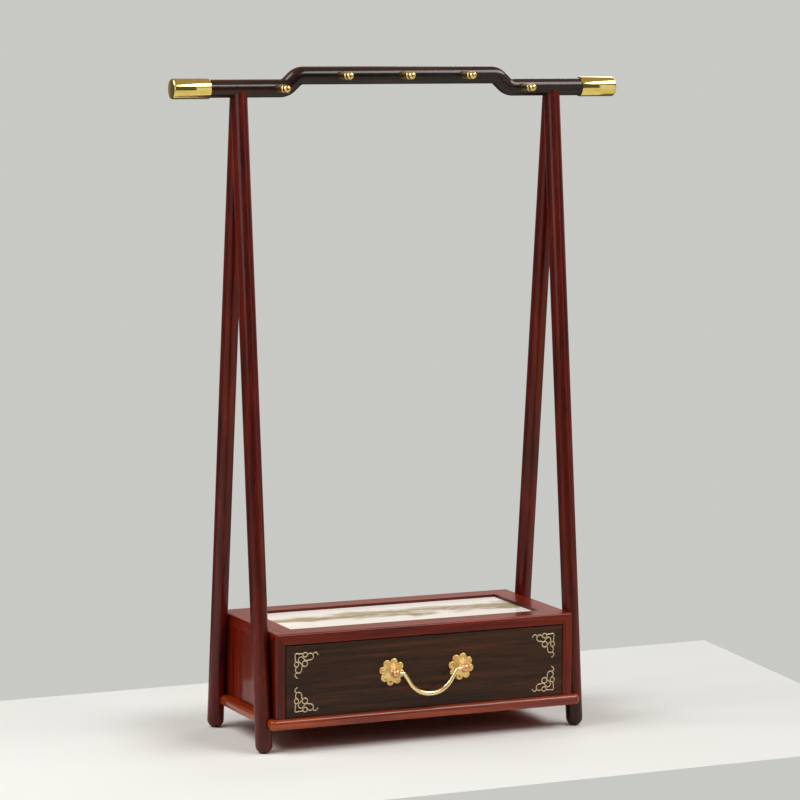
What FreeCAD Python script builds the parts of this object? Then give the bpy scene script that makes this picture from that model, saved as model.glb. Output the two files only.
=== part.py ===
import FreeCAD, Part
import math
import os

from FreeCAD import Vector

# A stand for calligraphy brushes with a small drawer under it.
#
# Millimetres. +Z is up, X runs along the beam and the drawer opens towards -Y.
# The origin lies on the ground, midway between the four feet. "Left" is -X,
# as seen by someone who sits in front of the drawer.
#
# Two A-frames of round legs carry a round beam with a raised middle. Brushes hang
# from five brass pegs on the beam. Between the A-frames sits a small case of
# framed panels, with a porcelain tile in its top and one drawer, pulled by a
# brass bail on two rosettes. Every glued joint touches face to face.

# ---------------------------------------------------------------- driving sizes
# beam and what it carries
beam_axis_height = 436.0     # straight ends of the beam, above the ground
beam_diameter = 12.0
beam_overhang = 47.2         # from the middle of a leg to the outer end of the brass cap
crank_rise = 8.4             # how far the middle stands above the ends
crank_inset = 37.6           # from the middle of a leg to the middle of the crank
crank_angle = 42.5
crank_radius = 9.0           # bend of the beam's centre line
cap_length = 26.0
cap_wall = 0.7
cap_end_thickness = 1.5
cap_edge_bevel = 0.9
peg_count = 5
peg_pitch = 44.8
peg_diameter = 5.2
peg_reach = 25.0             # tip of the peg, from the beam's centre line
peg_root_diameter = 3.4
peg_root_depth = 4.6         # how deep the peg is let into the beam
peg_head_length = 3.9
peg_neck_length = 1.6
peg_neck_diameter = 3.6

# legs
leg_diameter = 11.4
foot_spread = 90.4           # front foot to back foot, between centres
foot_flat_diameter = 4.6     # what the round of the foot leaves to stand on
top_tenon_width = 3.2
top_tenon_in_beam = 3.0      # how far the tenon passes the beam's centre line
top_tenon_in_legs = 20.0
side_tenon_width = 3.0
side_tenon_length = 12.0
side_tenon_past_leg_axis = 2.5

# case: four posts, a mitred top frame and thin panels
case_width = 218.0
case_depth = 104.0
case_top_height = 79.5
case_edge_round = 1.5
opening_edge_round = 1.2     # front edges of the drawer's opening
top_rail_width = 17.2
top_rail_thickness = 7.5
post_width = 7.0             # seen from the front
post_depth = 15.0            # seen from the side
post_tenon_width = 3.0
post_tenon_depth = 4.5
post_tenon_length = 3.5
panel_thickness = 4.0
panel_recess = 0.8           # behind the faces of the posts
panel_tongue = 3.0           # let into a groove in each post
tile_thickness = 3.5
tile_recess = 1.7
tile_ledge = 4.0             # width of the ledge under the tile

# base: a mitred frame with a thin panel let in
base_side_overhang = 5.0     # beyond the case
base_front_overhang = 3.5
base_thickness = 7.0
base_underside_height = 16.0
base_rail_width = 20.0
base_edge_round = 2.7
base_panel_thickness = 3.0
base_panel_tongue = 3.0

# drawer
drawer_front_thickness = 9.0
drawer_front_recess = 0.8
drawer_side_thickness = 5.0
drawer_side_drop = 7.0       # the box is that much lower than the front
drawer_side_let_in = 5.0     # how deep the sides go into the front
drawer_back_thickness = 5.0
drawer_bottom_thickness = 3.0
drawer_bottom_lift = 4.0     # underside of the bottom, above the lower edge of the sides
drawer_groove = 2.5

# bail handle
rosette_spacing = 50.8
handle_height = 48.7         # axis of the bail, above the ground
rosette_petals = 8
petal_radius = 2.8
petal_ring_radius = 6.6
petal_turn = 11.0            # first petal, clockwise from straight up
petal_thickness = 0.8
rosette_dome_radius = 5.9
rosette_dome_top_radius = 2.8
rosette_dome_height = 1.5
nail_diameter = 0.9
nail_head_diameter = 1.6
nail_head_depth = 0.45
nail_length = 5.0
bail_wire_diameter = 2.6
bail_standoff = 7.0          # axis of the bail, in front of the drawer front
bail_drop = 15.2
bail_shoulder = 19.6         # half the width between the bail's two shoulders
bail_slope = 58.0            # of its sides, from level
bail_shoulder_bend = 2.5
bail_bottom_bend = 17.4
bail_end_past_post = 2.3     # the bail's ends, beyond the middle of each post
knob_radius = 3.0
handle_neck_diameter = 3.6
handle_shank_diameter = 3.0
handle_nut_across_flats = 5.5
handle_nut_thickness = 2.4
shank_past_nut = 0.8

# How many sides stand for a circle in the small brass pieces. Rounder ones look
# the same at this size, and make each piece ten times as heavy to draw.
turning_sides = 12
bail_sides = 8
petal_sides = 12
nail_sides = 6
knob_rings = 6

# ---------------------------------------------------------------- clearances
glue_gap = 0.05              # round a glued fit between curved faces
leg_gap = 0.1                # between a leg and the case's side
bail_fit = 0.05              # radial, of the bail in its eyes
tile_play = 0.3
panel_play = 0.2
drawer_side_gap = 0.4
drawer_top_gap = 0.5
drawer_bottom_gap = 0.2
drawer_back_gap = 0.5

# ---------------------------------------------------------------- derived places
LEFT, RIGHT = -1, 1
FRONT, BACK = -1, 1
SIDES = {"left": LEFT, "right": RIGHT}
ENDS = {"front": FRONT, "back": BACK}

beam_radius = beam_diameter / 2
leg_radius = leg_diameter / 2
case_x = case_width / 2
case_y = case_depth / 2
leg_x = case_x + leg_gap + leg_radius
foot_y = foot_spread / 2
beam_end_x = leg_x + beam_overhang
crank_x = leg_x - crank_inset
base_x = case_x + base_side_overhang
base_y = case_y + base_front_overhang
base_top = base_underside_height + base_thickness
base_middle = base_underside_height + base_thickness / 2
frame_underside = case_top_height - top_rail_thickness
frame_middle = case_top_height - top_rail_thickness / 2
opening_x = case_x - post_width
tile_opening_x = case_x - top_rail_width
tile_opening_y = case_y - top_rail_width
tile_top = case_top_height - tile_recess
tile_bottom = tile_top - tile_thickness
back_panel_outside = case_y - panel_recess
back_panel_inside = back_panel_outside - panel_thickness

drawer_face = -case_y + drawer_front_recess
drawer_x = opening_x - drawer_side_gap
drawer_low = base_top + drawer_bottom_gap
drawer_high = frame_underside - drawer_top_gap
drawer_box_high = drawer_high - drawer_side_drop
drawer_box_front = drawer_face + drawer_front_thickness
drawer_box_back = back_panel_inside - drawer_back_gap
drawer_inside_x = drawer_x - drawer_side_thickness
drawer_bottom_low = drawer_low + drawer_bottom_lift
drawer_bottom_high = drawer_bottom_low + drawer_bottom_thickness

bail_radius = bail_wire_diameter / 2
bail_axis_y = drawer_face - bail_standoff
rosette_x = rosette_spacing / 2
rosette_front = drawer_face - petal_thickness - rosette_dome_height

X_AXIS = Vector(1, 0, 0)
Y_AXIS = Vector(0, 1, 0)
Z_AXIS = Vector(0, 0, 1)
BEYOND = 600.0               # longer than anything here, for cutting tools


# ---------------------------------------------------------------- helpers
def box(x, y, z):
    """A block between two limits on each axis."""
    size = [limits[1] - limits[0] for limits in (x, y, z)]
    return Part.makeBox(*size, Vector(x[0], y[0], z[0]))


def rod(start, end, radius):
    run = end - start
    return Part.makeCylinder(radius, run.Length, start, run)


def prism(corners, run):
    """A flat polygon pushed along run."""
    return Part.Face(Part.makePolygon(corners + corners[:1])).extrude(run)


def regular_corners(centre, radius, sides, across=X_AXIS):
    """The corners of a regular polygon that stands upright, in the plane of Z and across."""
    angles = [math.radians(360 / sides * number) for number in range(sides)]
    return [centre + (across * math.sin(angle) + Z_AXIS * math.cos(angle)) * radius for angle in angles]


def many_sided(centre, radius, sides, run):
    """A regular prism along Y."""
    return prism(regular_corners(centre, radius, sides), Y_AXIS * run)


def turning(stations, sides):
    """A small turned form along Y with flat facets. Each station on it is (centre, radius)."""
    rings = [regular_corners(centre, radius, sides) for centre, radius in stations]
    outlines = [rings[0], rings[-1]]
    for near, far in zip(rings, rings[1:]):
        for number in range(sides):
            after = (number + 1) % sides
            outlines.append([near[number], near[after], far[after], far[number]])
    faces = [Part.Face(Part.makePolygon(outline + outline[:1])) for outline in outlines]
    return Part.Solid(Part.Shell(faces))


def rounded_path(points, radii):
    """Straight runs through the points, each inner corner rounded by its own radius."""
    edges = []
    start = points[0]
    for before, corner, after, radius in zip(points, points[1:], points[2:], radii):
        back = (before - corner).normalize()
        on = (after - corner).normalize()
        half_angle = back.getAngle(on) / 2
        inward = (back + on).normalize()
        tangent = radius / math.tan(half_angle)
        middle = corner + inward * (radius / math.sin(half_angle) - radius)
        edges.append(Part.makeLine(start, corner + back * tangent))
        edges.append(Part.Arc(corner + back * tangent, middle, corner + on * tangent).toShape())
        start = corner + on * tangent
    edges.append(Part.makeLine(start, points[-1]))
    return Part.Wire(edges)


def is_upright(edge):
    ends = [vertex.Point for vertex in edge.Vertexes]
    return len(ends) == 2 and math.hypot(ends[0].x - ends[1].x, ends[0].y - ends[1].y) < 1e-6


def is_level_at(edge, heights):
    limits = edge.BoundBox
    return any(abs(limits.ZMin - height) < 1e-6 and abs(limits.ZMax - height) < 1e-6 for height in heights)


def cut_all(shape, tools):
    return shape.cut(list(tools)).removeSplitter()


def mitred_rails(ring, half_x, half_y, width, low, high):
    """Cuts a flat ring into its four rails along the mitres at its corners."""
    inner_x = half_x - width
    inner_y = half_y - width

    def rail(outline):
        return ring.common(prism([Vector(x, y, low) for x, y in outline], Z_AXIS * (high - low)))
    rails = {}
    for name, end in ENDS.items():
        outer = [(-half_x, end * half_y), (half_x, end * half_y)]
        inner = [(inner_x, end * inner_y), (-inner_x, end * inner_y)]
        rails[name] = rail(outer + inner)
    for name, side in SIDES.items():
        outer = [(side * half_x, -half_y), (side * half_x, half_y)]
        inner = [(side * inner_x, inner_y), (side * inner_x, -inner_y)]
        rails[name] = rail(outer + inner)
    return rails


# ---------------------------------------------------------------- legs and beam
def leg_axis_point(side, end, height):
    """A leg leans from its foot to the beam's axis."""
    return Vector(side * leg_x, end * foot_y * (1 - height / beam_axis_height), height)


def leg_rod(side, end, radius):
    """The whole length of one leg as a plain rod, from under the ground to the beam's axis."""
    below_ground = leg_axis_point(side, end, -leg_diameter)
    return rod(below_ground, leg_axis_point(side, end, beam_axis_height), radius)


def top_tenon(side):
    """The loose tenon that ties the beam to the mitred tops of a pair of legs."""
    half = top_tenon_width / 2
    height = (beam_axis_height - top_tenon_in_legs, beam_axis_height + top_tenon_in_beam)
    return box((side * leg_x - half, side * leg_x + half), (-half, half), height)


def side_tenon(side, end, height):
    """A loose tenon from a leg into the frame beside it."""
    half = side_tenon_width / 2
    axis = leg_axis_point(side, end, height)
    outer = axis.x + side * side_tenon_past_leg_axis
    return box(sorted((outer, outer - side * side_tenon_length)), (axis.y - half, axis.y + half),
               (height - half, height + half))


def side_tenons():
    """Each leg is tied to the base and to the case's top frame."""
    return [side_tenon(side, end, height)
            for side in SIDES.values() for end in ENDS.values() for height in (base_middle, frame_middle)]


def leg(side, end):
    """A leg stands on a round foot, and is mitred to its partner and coped to the beam."""
    foot_centre_height = math.sqrt(leg_radius ** 2 - (foot_flat_diameter / 2) ** 2)
    foot_centre = leg_axis_point(side, end, foot_centre_height)
    bar = rod(foot_centre, leg_axis_point(side, end, beam_axis_height), leg_radius)
    bar = bar.fuse(Part.makeSphere(leg_radius, foot_centre))
    own_side = box((-BEYOND, BEYOND), sorted((0, end * BEYOND)), (0, BEYOND))
    beam_seat = rod(Vector(-BEYOND, 0, beam_axis_height), Vector(BEYOND, 0, beam_axis_height),
                    beam_radius + glue_gap)
    tenons = [side_tenon(side, end, height) for height in (base_middle, frame_middle)]
    return cut_all(bar.common(own_side), [beam_seat, top_tenon(side)] + tenons)


def beam_path():
    wood_end = beam_end_x - cap_end_thickness
    half_slope = crank_rise / math.tan(math.radians(crank_angle)) / 2
    low = beam_axis_height
    high = beam_axis_height + crank_rise
    left_half = [(-wood_end, low), (-crank_x - half_slope, low), (-crank_x + half_slope, high)]
    right_half = [(-x, z) for x, z in reversed(left_half)]
    points = [Vector(x, 0, z) for x, z in left_half + right_half]
    return rounded_path(points, [crank_radius] * 4)


def peg_places():
    """Pegs stand on the beam's front, each at the beam's own height there."""
    places = []
    for number in range(peg_count):
        x = (number - (peg_count - 1) / 2) * peg_pitch
        raised = abs(x) < crank_x
        places.append(Vector(x, 0, beam_axis_height + (crank_rise if raised else 0)))
    return places


def peg(place):
    """A brass peg: a root let into the beam, a shaft, a neck for the brush's loop, and a head."""
    shoulder = place - Y_AXIS * beam_radius
    tip = place - Y_AXIS * peg_reach
    head_start = tip + Y_AXIS * peg_head_length
    neck_start = head_start + Y_AXIS * peg_neck_length
    root = many_sided(shoulder, peg_root_diameter / 2, turning_sides, peg_root_depth)
    shaft = rod(shoulder, neck_start, peg_diameter / 2)
    neck = many_sided(head_start, peg_neck_diameter / 2, turning_sides, peg_neck_length)
    head = rod(head_start, tip, peg_diameter / 2)
    return shaft.fuse([root, neck, head])


def beam():
    path = beam_path()
    start = path.Edges[0].firstVertex().Point
    section = Part.Face(Part.Wire(Part.makeCircle(beam_radius, start, X_AXIS)))
    pegs = [peg(place) for place in peg_places()]
    return cut_all(path.makePipe(section), pegs + [top_tenon(side) for side in SIDES.values()])


def beam_cap(side):
    """A closed brass ferrule on the beam's end."""
    outer = Vector(side * beam_end_x, 0, beam_axis_height)
    bore_radius = beam_radius + glue_gap
    cup = rod(outer - X_AXIS * side * cap_length, outer, bore_radius + cap_wall)
    closed_end = [edge for edge in cup.Edges if abs(edge.BoundBox.Center.x - outer.x) < 1e-6]
    bore = rod(Vector(0, 0, beam_axis_height), outer - X_AXIS * side * cap_end_thickness, bore_radius)
    return cup.makeChamfer(cap_edge_bevel, closed_end).cut(bore)


# ---------------------------------------------------------------- case
def case_block():
    """The outside of the case and the drawer's opening, with their edges rounded."""
    block = box((-case_x, case_x), (-case_y, case_y), (base_top, case_top_height))
    edges = [edge for edge in block.Edges if is_upright(edge) or is_level_at(edge, [case_top_height])]
    opening = box((-opening_x, opening_x), (-case_y, post_depth - case_y), (base_top, frame_underside))
    block = block.makeFillet(case_edge_round, edges).cut(opening)

    def is_round_the_opening(edge):
        limits = edge.BoundBox
        return limits.YMax < -case_y + 1e-6 and max(-limits.XMin, limits.XMax) < opening_x + 1e-6
    opening_edges = [edge for edge in block.Edges if is_round_the_opening(edge)]
    return block.makeFillet(opening_edge_round, opening_edges)


def side_panel(side, play=0.0):
    outside = case_x - panel_recess
    reach = case_y - post_depth + panel_tongue + play
    across = sorted((side * outside, side * (outside - panel_thickness)))
    return box(across, (-reach, reach), (base_top, frame_underside))


def back_panel(play=0.0):
    reach = opening_x + panel_tongue + play
    return box((-reach, reach), (back_panel_inside, back_panel_outside), (base_top, frame_underside))


def post_tenon(side, end):
    """The stub under a post. It stands near the corner, clear of the leg's tenon."""
    inner_x = opening_x + (post_width - post_tenon_width) / 2
    outer_y = case_y - case_edge_round
    x = sorted((side * inner_x, side * (inner_x + post_tenon_width)))
    y = sorted((end * outer_y, end * (outer_y - post_tenon_depth)))
    return box(x, y, (base_top - post_tenon_length, base_top))


def post(side, end):
    """A corner post. Its top is a three-way mitre: sloped on the front and on the side."""
    front_outline = [(case_x, base_top), (opening_x, base_top),
                     (opening_x, frame_underside), (case_x, case_top_height)]
    side_outline = [(case_y, base_top), (case_y - post_depth, base_top),
                    (case_y - post_depth, frame_underside), (case_y, case_top_height)]
    across = prism([Vector(side * x, -BEYOND, z) for x, z in front_outline], Y_AXIS * 2 * BEYOND)
    along = prism([Vector(-BEYOND, end * y, z) for y, z in side_outline], X_AXIS * 2 * BEYOND)
    body = case_block().common(across).common(along)
    grooves = [side_panel(side, panel_play)]
    if end == BACK:
        grooves.append(back_panel(panel_play))
    return cut_all(body, grooves).fuse(post_tenon(side, end)).removeSplitter()


def tile():
    x = tile_opening_x - tile_play
    y = tile_opening_y - tile_play
    return box((-x, x), (-y, y), (tile_bottom, tile_top))


def top_rails(posts):
    """The mitred frame round the tile, with a ledge under the tile's edge."""
    layer = box((-case_x, case_x), (-case_y, case_y), (frame_underside, case_top_height))
    slab = case_block().common(layer)
    rebate = box((-tile_opening_x, tile_opening_x), (-tile_opening_y, tile_opening_y),
                 (tile_bottom, case_top_height))
    ledge_x = tile_opening_x - tile_ledge
    ledge_y = tile_opening_y - tile_ledge
    light = box((-ledge_x, ledge_x), (-ledge_y, ledge_y), (0, case_top_height))
    ring = cut_all(slab, [rebate, light] + posts + side_tenons())
    rail_width = top_rail_width + tile_ledge
    return mitred_rails(ring, case_x, case_y, rail_width, frame_underside, case_top_height)


# ---------------------------------------------------------------- base
def base_panel(play=0.0):
    x = base_x - base_rail_width + base_panel_tongue + play
    y = base_y - base_rail_width + base_panel_tongue + play
    low = base_middle - base_panel_thickness / 2
    return box((-x, x), (-y, y), (low, low + base_panel_thickness))


def base_rails():
    """A bullnosed frame. The legs stand half let into its sides."""
    block = box((-base_x, base_x), (-base_y, base_y), (base_underside_height, base_top))
    nose_edges = [edge for edge in block.Edges if is_level_at(edge, [base_underside_height, base_top])]
    slab = block.makeFillet(base_edge_round, nose_edges)
    inner_x = base_x - base_rail_width
    inner_y = base_y - base_rail_width
    light = box((-inner_x, inner_x), (-inner_y, inner_y), (0, BEYOND))
    corners = [(side, end) for side in SIDES.values() for end in ENDS.values()]
    notches = [leg_rod(side, end, leg_radius + glue_gap) for side, end in corners]
    mortises = [post_tenon(side, end) for side, end in corners]
    ring = cut_all(slab, [light, base_panel(panel_play)] + notches + mortises + side_tenons())
    return mitred_rails(ring, base_x, base_y, base_rail_width, base_underside_height, base_top)


# ---------------------------------------------------------------- drawer box
def drawer_bottom():
    x = drawer_inside_x + drawer_groove
    y = (drawer_box_front - drawer_groove, drawer_box_back)
    return box((-x, x), y, (drawer_bottom_low, drawer_bottom_high))


def drawer_side(side):
    x = sorted((side * drawer_x, side * drawer_inside_x))
    y = (drawer_box_front - drawer_side_let_in, drawer_box_back)
    return box(x, y, (drawer_low, drawer_box_high)).cut(drawer_bottom())


def drawer_back():
    x = (-drawer_inside_x, drawer_inside_x)
    y = (drawer_box_back - drawer_back_thickness, drawer_box_back)
    return box(x, y, (drawer_bottom_high, drawer_box_high))


def drawer_front():
    """The dark front. The sides and the bottom are let into its back."""
    board = box((-drawer_x, drawer_x), (drawer_face, drawer_box_front), (drawer_low, drawer_high))
    tools = [drawer_bottom()]
    for side in SIDES.values():
        tools += [drawer_side(side), handle_shank(side), rosette_nail(side)]
    return cut_all(board, tools)


# ---------------------------------------------------------------- bail handle
def petal_centres(side):
    centres = []
    for number in range(rosette_petals):
        angle = math.radians(petal_turn + number * 360 / rosette_petals)
        offset = Vector(math.sin(angle), 0, math.cos(angle)) * petal_ring_radius
        centres.append(Vector(side * rosette_x, drawer_face, handle_height) + offset)
    return centres


def rosette_nail(side):
    """The nail goes through the petal that points down, with its head sunk flush."""
    place = min(petal_centres(side), key=lambda centre: centre.z)
    front = place - Y_AXIS * petal_thickness
    seat = front + Y_AXIS * nail_head_depth
    tip = place + Y_AXIS * nail_length
    return turning([(tip, nail_diameter / 2), (seat, nail_diameter / 2), (front, nail_head_diameter / 2)],
                   nail_sides)


def rosette(side):
    """A flower of thin petals round a broad raised middle."""
    middle = Vector(side * rosette_x, drawer_face, handle_height)
    disc = many_sided(middle, petal_ring_radius, rosette_petals, -petal_thickness)
    petals = [many_sided(centre, petal_radius, petal_sides, -petal_thickness)
              for centre in petal_centres(side)]
    dome = turning([(middle - Y_AXIS * petal_thickness, rosette_dome_radius),
                    (Vector(middle.x, rosette_front, middle.z), rosette_dome_top_radius)], turning_sides)
    flower = disc.fuse(petals + [dome]).removeSplitter()
    return cut_all(flower, [handle_shank(side), rosette_nail(side)])


def handle_shank(side):
    """The part of a handle post that passes through the rosette and the drawer front."""
    back_y = drawer_box_front + handle_nut_thickness + shank_past_nut
    back_end = Vector(side * rosette_x, back_y, handle_height)
    return many_sided(back_end, handle_shank_diameter / 2, turning_sides, rosette_front - back_y)


def handle_post(side):
    """A round knob with an eye for the bail, on a neck and a shank."""
    centre = Vector(side * rosette_x, bail_axis_y, handle_height)
    stations = []
    for number in range(1, knob_rings):
        angle = math.radians(180 / knob_rings * number)
        stations.append((centre - Y_AXIS * knob_radius * math.cos(angle), knob_radius * math.sin(angle)))
    knob = turning(stations, turning_sides)
    neck = many_sided(centre, handle_neck_diameter / 2, turning_sides, rosette_front - centre.y)
    eye_corner_radius = (bail_radius + bail_fit) / math.cos(math.pi / turning_sides)
    start = centre - X_AXIS * knob_radius * 2
    eye = prism(regular_corners(start, eye_corner_radius, turning_sides, Y_AXIS), X_AXIS * knob_radius * 4)
    return knob.fuse([neck, handle_shank(side)]).removeSplitter().cut(eye)


def handle_nut(side):
    corner_radius = handle_nut_across_flats / 2 / math.cos(math.radians(30))
    middle = Vector(side * rosette_x, drawer_box_front, handle_height)
    return many_sided(middle, corner_radius, 6, handle_nut_thickness).cut(handle_shank(side))


def bail():
    """Bent wire: its two ends point outwards through the eyes of the posts."""
    reach = rosette_x + bail_end_past_post
    foot = bail_shoulder - bail_drop / math.tan(math.radians(bail_slope))
    left_half = [(-reach, 0), (-bail_shoulder, 0), (-foot, -bail_drop)]
    right_half = [(-x, z) for x, z in reversed(left_half)]
    points = [Vector(x, bail_axis_y, handle_height + z) for x, z in left_half + right_half]
    bends = [bail_shoulder_bend, bail_bottom_bend, bail_bottom_bend, bail_shoulder_bend]
    corners = regular_corners(points[0], bail_radius, bail_sides, Y_AXIS)
    section = Part.Face(Part.makePolygon(corners + corners[:1]))
    return rounded_path(points, bends).makePipe(section)


# ---------------------------------------------------------------- export
def export(name, *solids):
    shape = solids[0] if len(solids) == 1 else Part.makeCompound(list(solids))
    if not shape.isValid():
        raise ValueError(name + " is not a valid solid")
    shape.exportStep("parts/" + name + ".step")
    print(name, len(shape.Solids), "solid", round(shape.Volume, 1), "mm3")


os.makedirs("parts", exist_ok=True)

export("beam", beam())
export("beam_caps", *[beam_cap(side) for side in SIDES.values()])
for number, place in enumerate(peg_places(), start=1):
    export("peg_" + str(number), peg(place))

for side_name, side in SIDES.items():
    for end_name, end in ENDS.items():
        export("leg_" + end_name + "_" + side_name, leg(side, end))
export("leg_top_tenons", *[top_tenon(side) for side in SIDES.values()])
export("leg_side_tenons", *side_tenons())

for name, rail in base_rails().items():
    export("base_rail_" + name, rail)
export("base_panel", base_panel())

posts = {end_name + "_" + side_name: post(side, end)
         for side_name, side in SIDES.items() for end_name, end in ENDS.items()}
for name, shape in posts.items():
    export("post_" + name, shape)
for name, rail in top_rails(list(posts.values())).items():
    export("top_rail_" + name, rail)
for name, side in SIDES.items():
    export("side_panel_" + name, side_panel(side))
export("back_panel", back_panel())
export("tile", tile())

export("drawer_front", drawer_front())
for name, side in SIDES.items():
    export("drawer_side_" + name, drawer_side(side))
export("drawer_back", drawer_back())
export("drawer_bottom", drawer_bottom())

for name, side in SIDES.items():
    export("rosette_" + name, rosette(side))
    export("handle_post_" + name, handle_post(side))
export("rosette_nails", *[rosette_nail(side) for side in SIDES.values()])
export("handle_nuts", *[handle_nut(side) for side in SIDES.values()])
export("bail", bail())
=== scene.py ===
# %% [markdown]
# # A brush stand with a small drawer
#
# The stand arrives as a frame of plain CAD pieces, all in metres and all in
# place. This lesson gives each of them its real surface: lacquered rosewood,
# a nearly black beam, turned and polished brass, a glazed tile. Where a piece
# is round, a finer one takes the CAD piece's place. Where it is flat, a copy
# gets its edges broken, as a plane and sandpaper would leave them.
#
# Lengths are written in millimetres and multiplied by `MM` where a mesh is
# made. What a CAD piece's box can tell, its place or its size, is read there.

# %% Bring in the frame
import math

import bmesh
import bpy
from mathutils import Matrix, Vector


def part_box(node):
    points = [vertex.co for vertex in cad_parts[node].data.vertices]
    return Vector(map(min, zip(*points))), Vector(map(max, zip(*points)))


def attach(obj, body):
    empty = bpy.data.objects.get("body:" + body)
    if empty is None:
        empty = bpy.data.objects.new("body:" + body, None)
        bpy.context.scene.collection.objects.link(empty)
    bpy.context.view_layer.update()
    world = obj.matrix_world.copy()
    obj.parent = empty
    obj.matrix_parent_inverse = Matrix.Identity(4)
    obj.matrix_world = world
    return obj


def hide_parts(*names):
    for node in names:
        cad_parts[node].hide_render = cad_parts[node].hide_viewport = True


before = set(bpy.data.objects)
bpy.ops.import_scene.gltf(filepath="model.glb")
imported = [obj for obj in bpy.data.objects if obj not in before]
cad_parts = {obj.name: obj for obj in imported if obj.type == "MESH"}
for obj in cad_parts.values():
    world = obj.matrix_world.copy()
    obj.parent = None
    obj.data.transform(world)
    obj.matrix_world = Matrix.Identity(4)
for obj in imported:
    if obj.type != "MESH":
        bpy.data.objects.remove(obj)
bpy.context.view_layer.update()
MM = 0.001


def low_corner(node):
    """The corner of a CAD piece's box that is farthest left, in front and down."""
    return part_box(node)[0] / MM


def high_corner(node):
    """The corner opposite to that one."""
    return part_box(node)[1] / MM


def middle(node):
    """The middle of that box."""
    return (low_corner(node) + high_corner(node)) / 2


print("pieces in the frame:", len(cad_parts))

# %% [markdown]
# The camera stands a little to the left of the stand and above the tile, far
# away behind a long lens, so that upright things stay upright.

# %% Set up the camera
CAMERA_PLACE = Vector((-0.924, -2.076, 0.489))
CAMERA_TURN = math.radians(-24.05)
CAMERA_DIP = math.radians(6.63)
CAMERA_TILT = math.radians(0.25)
LENS = 151.7
SENSOR = 36
FARTHEST_SEEN = 50

ahead = Vector((-math.sin(CAMERA_TURN) * math.cos(CAMERA_DIP),
                math.cos(CAMERA_TURN) * math.cos(CAMERA_DIP), -math.sin(CAMERA_DIP)))
level = Vector((math.cos(CAMERA_TURN), math.sin(CAMERA_TURN), 0))
upward = level.cross(ahead)
right = level * math.cos(CAMERA_TILT) + upward * math.sin(CAMERA_TILT)
upward = right.cross(ahead)
camera = bpy.data.objects.new("camera", bpy.data.cameras.new("camera"))
camera.data.lens = LENS
camera.data.sensor_width = SENSOR
camera.data.clip_end = FARTHEST_SEEN
turned_to = Matrix((right, upward, -ahead)).transposed().to_4x4()
camera.matrix_world = Matrix.Translation(CAMERA_PLACE) @ turned_to
bpy.context.scene.collection.objects.link(camera)
bpy.context.scene.camera = camera
bpy.context.scene.view_settings.view_transform = "Standard"
print("lens", LENS, "mm")

# %% [markdown]
# Node trees are easier to read as sums than as lists of links. `Wire` is one
# output of a node, and adding or multiplying wires adds the Math nodes for it.
# `Bench` puts down any other node: its type, its settings, what goes into it.
# Its last three methods are the nodes that the finishes need all the time.

# %% Make a bench for node trees
class Wire:
    """One output of a node."""

    def __init__(self, bench, socket):
        self.bench = bench
        self.socket = socket

    def other(self, output):
        """Another output of the same node."""
        return Wire(self.bench, self.socket.node.outputs[output])

    def maths(self, operation, first, second):
        return self.bench.add("ShaderNodeMath", {"operation": operation}, {0: first, 1: second})

    def __add__(self, other):
        return self.maths("ADD", self, other)

    def __radd__(self, other):
        return self.maths("ADD", other, self)

    def __sub__(self, other):
        return self.maths("SUBTRACT", self, other)

    def __rsub__(self, other):
        return self.maths("SUBTRACT", other, self)

    def __mul__(self, other):
        return self.maths("MULTIPLY", self, other)

    def __rmul__(self, other):
        return self.maths("MULTIPLY", other, self)


class Bench:
    """Where the nodes of one tree are put down."""

    def __init__(self, tree):
        self.tree = tree

    def add(self, kind, settings=None, inputs=None, output=0):
        node = self.tree.nodes.new(kind)
        for name, value in (settings or {}).items():
            if name == "stops":
                self.set_stops(node.color_ramp, value)
            else:
                setattr(node, name, value)
        for name, value in (inputs or {}).items():
            if isinstance(value, Wire):
                self.tree.links.new(value.socket, node.inputs[name])
            else:
                node.inputs[name].default_value = value
        return Wire(self, node.outputs[output]) if len(node.outputs) else node

    @staticmethod
    def set_stops(ramp, stops):
        while len(ramp.elements) < len(stops):
            ramp.elements.new(1.0)
        for element, (place, colour) in zip(ramp.elements, stops):
            element.position = place
            element.color = (*colour, 1.0)

    def noise(self, place, scale, detail, roughness=0.5, distortion=0.0):
        return self.add("ShaderNodeTexNoise", None, {
            "Vector": place, "Scale": scale, "Detail": detail, "Roughness": roughness,
            "Distortion": distortion})

    def ramp(self, value, low, high, start=0.0, end=1.0, kind="LINEAR"):
        """start while value is under low, end when it is over high, and a slope between them."""
        return self.add("ShaderNodeMapRange", {"interpolation_type": kind}, {
            "Value": value, "From Min": low, "From Max": high, "To Min": start, "To Max": end})

    def mix(self, share, first, second, blend="MIX"):
        """Two colours. The node has other sockets of the same names, so these go by number."""
        return self.add("ShaderNodeMix", {"data_type": "RGBA", "blend_type": blend}, {
            "Factor": share, 6: first, 7: second}, output=2)


def linear(red, green, blue):
    """A colour as a paint chart gives it, 0 to 255, in the light that the renderer adds up."""
    return tuple((part / 255) ** 2.2 for part in (red, green, blue))


print("bench ready")

# %% [markdown]
# ## Wood
#
# Rosewood shows long bands of tone, finer fibres inside them, and short dark
# pores. All three are the same noise, pulled out along the grain. The grain
# follows each piece: upright in posts and legs, along X or Y in rails. On top
# lies a clear lacquer, so the wood's own gloss is soft and the coat's sharp.

# %% Mix the wood finishes
GRAIN_STRETCH = 22.0
BAND_SHARE = 0.68
PORES_PER_FIBRE = 2.2
PORE_SHADE = (0.25, 0.2, 0.2, 1.0)
# Painted shade for the foot of a leg: its tint, and the soft line where it starts.
FOOT_SHADE_PAINT = (0.28, 0.62, 0.62, 1.0)
FOOT_SHADE_FADE = 3 * MM
GRAIN_DEPTH = 0.1 * MM
LACQUER_INDEX = 1.5


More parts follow.
